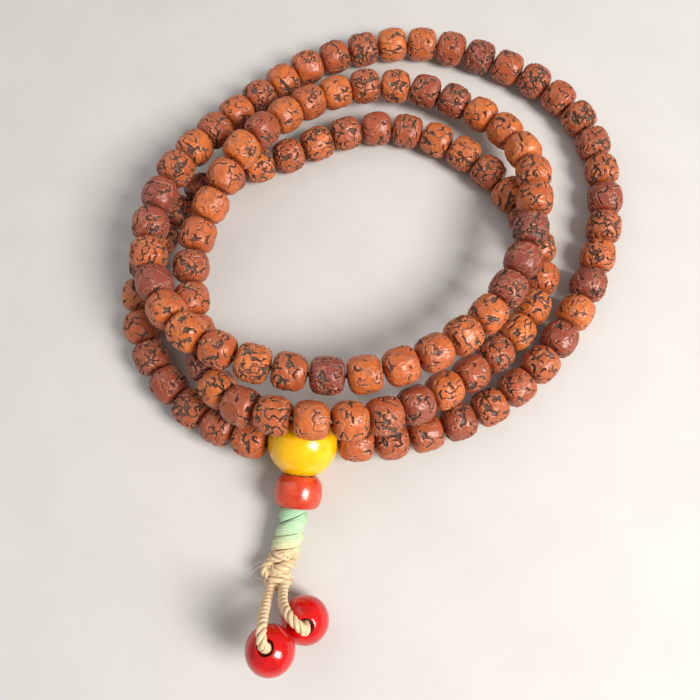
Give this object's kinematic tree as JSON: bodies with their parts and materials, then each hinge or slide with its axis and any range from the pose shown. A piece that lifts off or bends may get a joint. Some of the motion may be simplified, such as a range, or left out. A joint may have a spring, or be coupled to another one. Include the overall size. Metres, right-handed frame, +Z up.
{
  "type": "mala prayer beads",
  "caption": "Knotted loop of carved seed beads on a string, with a round guru bead, a barrel bead and a wrapped tail that ends in two round pendant beads.",
  "frame": {"origin": "on the surface that the beads lie on, under the middle of the whole object", "axes": "+Z up from the surface, +Y from the tail towards the far side of the loops"},
  "size_m": [0.1244, 0.162, 0.0241],
  "materials": {
    "seed": "carved seed, polished by handling, semi-gloss",
    "string": "twisted cotton string",
    "guru": "glossy resin",
    "barrel": "mottled resin, satin gloss",
    "pendant": "polished",
    "cord": "three-ply twisted cord",
    "wrap": "thread wrapped and knotted over the cords"
  },
  "bodies": {
    "root": {"seed_beads_001_to_009": "seed", "seed_beads_010_to_018": "seed", "seed_beads_019_to_027": "seed", "seed_beads_028_to_036": "seed", "seed_beads_037_to_045": "seed", "seed_beads_046_to_054": "seed", "seed_beads_055_to_063": "seed", "seed_beads_064_to_072": "seed", "guru_bead": "guru", "main_string": "string"},
    "tail": {"inner_knot": "cord", "tail_cord_pair": "cord", "cord_wrap": "wrap", "tail_knot": "cord"},
    "barrel": {"barrel_bead": "barrel"},
    "left_pendant": {"left_pendant_cord": "cord", "left_stopper_knot": "cord"},
    "left_pendant_ball": {"left_pendant_bead": "pendant"},
    "right_pendant": {"right_pendant_cord": "cord", "right_stopper_knot": "cord"},
    "right_pendant_ball": {"right_pendant_bead": "pendant"},
    "bead_073": {"seed_bead_073": "seed"},
    "bead_074": {"seed_bead_074": "seed"},
    "bead_075": {"seed_bead_075": "seed"},
    "bead_076": {"seed_bead_076": "seed"},
    "bead_077": {"seed_bead_077": "seed"},
    "bead_078": {"seed_bead_078": "seed"},
    "bead_079": {"seed_bead_079": "seed"},
    "bead_080": {"seed_bead_080": "seed"},
    "bead_081": {"seed_bead_081": "seed"},
    "bead_082": {"seed_bead_082": "seed"},
    "bead_083": {"seed_bead_083": "seed"},
    "bead_084": {"seed_bead_084": "seed"},
    "bead_085": {"seed_bead_085": "seed"},
    "bead_086": {"seed_bead_086": "seed"},
    "bead_087": {"seed_bead_087": "seed"},
    "bead_088": {"seed_bead_088": "seed"},
    "bead_089": {"seed_bead_089": "seed"},
    "bead_090": {"seed_bead_090": "seed"},
    "bead_091": {"seed_bead_091": "seed"},
    "bead_092": {"seed_bead_092": "seed"},
    "bead_093": {"seed_bead_093": "seed"},
    "bead_094": {"seed_bead_094": "seed"},
    "bead_095": {"seed_bead_095": "seed"},
    "bead_096": {"seed_bead_096": "seed"},
    "bead_097": {"seed_bead_097": "seed"},
    "bead_098": {"seed_bead_098": "seed"},
    "bead_099": {"seed_bead_099": "seed"},
    "bead_100": {"seed_bead_100": "seed"},
    "bead_101": {"seed_bead_101": "seed"},
    "bead_102": {"seed_bead_102": "seed"},
    "bead_103": {"seed_bead_103": "seed"},
    "bead_104": {"seed_bead_104": "seed"},
    "bead_105": {"seed_bead_105": "seed"},
    "bead_106": {"seed_bead_106": "seed"},
    "bead_107": {"seed_bead_107": "seed"},
    "bead_108": {"seed_bead_108": "seed"}
  },
  "joints": [
    {"name": "tail_swing", "type": "hinge", "parent": "root", "child": "tail", "pos_m": [-0.0175, -0.0335, 0.0078], "axis": [0, 0, 1], "range_deg": [-8, 8]},
    {"name": "barrel_spin", "type": "hinge", "parent": "tail", "child": "barrel", "pos_m": [-0.01847, -0.04426, 0.00548], "axis": [-0.0882, -0.9736, -0.2104], "continuous": true},
    {"name": "left_pendant_swing", "type": "hinge", "parent": "tail", "child": "left_pendant", "pos_m": [-0.0233, -0.0607, 0.0034], "axis": [0, 0, 1], "range_deg": [-20, 0]},
    {"name": "left_pendant_spin", "type": "hinge", "parent": "left_pendant", "child": "left_pendant_ball", "pos_m": [-0.023, -0.0759, 0.0118], "axis": [-0.1003, 0.2105, 0.9724], "continuous": true},
    {"name": "right_pendant_swing", "type": "hinge", "parent": "tail", "child": "right_pendant", "pos_m": [-0.0209, -0.0607, 0.0034], "axis": [0, 0, 1], "range_deg": [0, 20]},
    {"name": "right_pendant_spin", "type": "hinge", "parent": "right_pendant", "child": "right_pendant_ball", "pos_m": [-0.0165, -0.0707, 0.0052], "axis": [0.0803, -0.2109, 0.9742], "continuous": true},
    {"name": "seed_073_spin", "type": "hinge", "parent": "root", "child": "bead_073", "pos_m": [-0.0515, 0.00155, 0.01546], "axis": [-0.3568, 0.9181, -0.1723], "continuous": true},
    {"name": "seed_074_spin", "type": "hinge", "parent": "root", "child": "bead_074", "pos_m": [-0.05374, 0.00926, 0.01432], "axis": [-0.1736, 0.9797, -0.1007], "continuous": true},
    {"name": "seed_075_spin", "type": "hinge", "parent": "root", "child": "bead_075", "pos_m": [-0.0541, 0.01732, 0.01387], "axis": [0.0761, 0.9967, -0.0271], "continuous": true},
    {"name": "seed_076_spin", "type": "hinge", "parent": "root", "child": "bead_076", "pos_m": [-0.05254, 0.02525, 0.01351], "axis": [0.3087, 0.9491, -0.0634], "continuous": true},
    {"name": "seed_077_spin", "type": "hinge", "parent": "root", "child": "bead_077", "pos_m": [-0.04951, 0.03274, 0.01272], "axis": [0.4234, 0.8942, -0.1455], "continuous": true},
    {"name": "seed_078_spin", "type": "hinge", "parent": "root", "child": "bead_078", "pos_m": [-0.04571, 0.03972, 0.01104], "axis": [0.5052, 0.8236, -0.2578], "continuous": true},
    {"name": "seed_079_spin", "type": "hinge", "parent": "root", "child": "bead_079", "pos_m": [-0.04132, 0.04625, 0.00901], "axis": [0.5786, 0.783, -0.2282], "continuous": true},
    {"name": "seed_080_spin", "type": "hinge", "parent": "root", "child": "bead_080", "pos_m": [-0.03631, 0.05244, 0.00737], "axis": [0.6468, 0.7415, -0.1783], "continuous": true},
    {"name": "seed_081_spin", "type": "hinge", "parent": "root", "child": "bead_081", "pos_m": [-0.03085, 0.05834, 0.00612], "axis": [0.6964, 0.7066, -0.1256], "continuous": true},
    {"name": "seed_082_spin", "type": "hinge", "parent": "root", "child": "bead_082", "pos_m": [-0.02499, 0.06391, 0.00531], "axis": [0.7477, 0.6594, -0.0776], "continuous": true},
    {"name": "seed_083_spin", "type": "hinge", "parent": "root", "child": "bead_083", "pos_m": [-0.0185, 0.06875, 0.00481], "axis": [0.8537, 0.519, -0.0432], "continuous": true},
    {"name": "seed_084_spin", "type": "hinge", "parent": "root", "child": "bead_084", "pos_m": [-0.01121, 0.07233, 0.0046], "axis": [0.9279, 0.3726, -0.0129], "continuous": true},
    {"name": "seed_085_spin", "type": "hinge", "parent": "root", "child": "bead_085", "pos_m": [-0.00351, 0.0749, 0.00452], "axis": [0.9677, 0.2522, -0.0057], "continuous": true},
    {"name": "seed_086_spin", "type": "hinge", "parent": "root", "child": "bead_086", "pos_m": [0.00447, 0.07641, 0.0045], "axis": [0.9925, 0.122, -0.0003], "continuous": true},
    {"name": "seed_087_spin", "type": "hinge", "parent": "root", "child": "bead_087", "pos_m": [0.01258, 0.07663, 0.0045], "axis": [0.9967, -0.0817, 0], "continuous": true},
    {"name": "seed_088_spin", "type": "hinge", "parent": "root", "child": "bead_088", "pos_m": [0.02055, 0.07514, 0.0045], "axis": [0.9634, -0.268, 0], "continuous": true},
    {"name": "seed_089_spin", "type": "hinge", "parent": "root", "child": "bead_089", "pos_m": [0.02823, 0.0725, 0.0045], "axis": [0.9236, -0.3835, 0], "continuous": true},
    {"name": "seed_090_spin", "type": "hinge", "parent": "root", "child": "bead_090", "pos_m": [0.03555, 0.06897, 0.0045], "axis": [0.8805, -0.4741, 0], "continuous": true},
    {"name": "seed_091_spin", "type": "hinge", "parent": "root", "child": "bead_091", "pos_m": [0.04246, 0.06469, 0.0045], "axis": [0.8063, -0.5915, 0], "continuous": true},
    {"name": "seed_092_spin", "type": "hinge", "parent": "root", "child": "bead_092", "pos_m": [0.04856, 0.05934, 0.0045], "axis": [0.6919, -0.722, 0], "continuous": true},
    {"name": "seed_093_spin", "type": "hinge", "parent": "root", "child": "bead_093", "pos_m": [0.05336, 0.05284, 0.0045], "axis": [0.4734, -0.8809, 0], "continuous": true},
    {"name": "seed_094_spin", "type": "hinge", "parent": "root", "child": "bead_094", "pos_m": [0.05628, 0.04529, 0.0045], "axis": [0.2634, -0.9647, 0], "continuous": true},
    {"name": "seed_095_spin", "type": "hinge", "parent": "root", "child": "bead_095", "pos_m": [0.0577, 0.0373, 0.0045], "axis": [0.0795, -0.9968, 0], "continuous": true},
    {"name": "seed_096_spin", "type": "hinge", "parent": "root", "child": "bead_096", "pos_m": [0.05771, 0.02919, 0.0045], "axis": [-0.0699, -0.9976, 0], "continuous": true},
    {"name": "seed_097_spin", "type": "hinge", "parent": "root", "child": "bead_097", "pos_m": [0.05652, 0.02115, 0.0045], "axis": [-0.2207, -0.9754, 0], "continuous": true},
    {"name": "seed_098_spin", "type": "hinge", "parent": "root", "child": "bead_098", "pos_m": [0.05429, 0.01334, 0.0045], "axis": [-0.3251, -0.9457, 0], "continuous": true},
    {"name": "seed_099_spin", "type": "hinge", "parent": "root", "child": "bead_099", "pos_m": [0.05122, 0.00581, 0.0045], "axis": [-0.4234, -0.9059, 0], "continuous": true},
    {"name": "seed_100_spin", "type": "hinge", "parent": "root", "child": "bead_100", "pos_m": [0.04744, -0.00139, 0.0045], "axis": [-0.5109, -0.8597, 0], "continuous": true},
    {"name": "seed_101_spin", "type": "hinge", "parent": "root", "child": "bead_101", "pos_m": [0.04292, -0.00815, 0.0045], "axis": [-0.5916, -0.8062, 0], "continuous": true},
    {"name": "seed_102_spin", "type": "hinge", "parent": "root", "child": "bead_102", "pos_m": [0.0378, -0.01446, 0.0045], "axis": [-0.6776, -0.7354, 0], "continuous": true},
    {"name": "seed_103_spin", "type": "hinge", "parent": "root", "child": "bead_103", "pos_m": [0.03189, -0.02003, 0.0045], "axis": [-0.771, -0.6368, 0.0002], "continuous": true},
    {"name": "seed_104_spin", "type": "hinge", "parent": "root", "child": "bead_104", "pos_m": [0.02525, -0.0247, 0.00451], "axis": [-0.8648, -0.5021, 0.0031], "continuous": true},
    {"name": "seed_105_spin", "type": "hinge", "parent": "root", "child": "bead_105", "pos_m": [0.01791, -0.02816, 0.00455], "axis": [-0.9314, -0.3639, 0.007], "continuous": true},
    {"name": "seed_106_spin", "type": "hinge", "parent": "root", "child": "bead_106", "pos_m": [0.01023, -0.03082, 0.0048], "axis": [-0.9574, -0.2813, 0.0648], "continuous": true},
    {"name": "seed_107_spin", "type": "hinge", "parent": "root", "child": "bead_107", "pos_m": [0.00237, -0.03271, 0.00561], "axis": [-0.975, -0.182, 0.1276], "continuous": true},
    {"name": "seed_108_spin", "type": "hinge", "parent": "root", "child": "bead_108", "pos_m": [-0.00561, -0.03347, 0.00684], "axis": [-0.9863, -0.0144, 0.1641], "continuous": true}
  ]
}
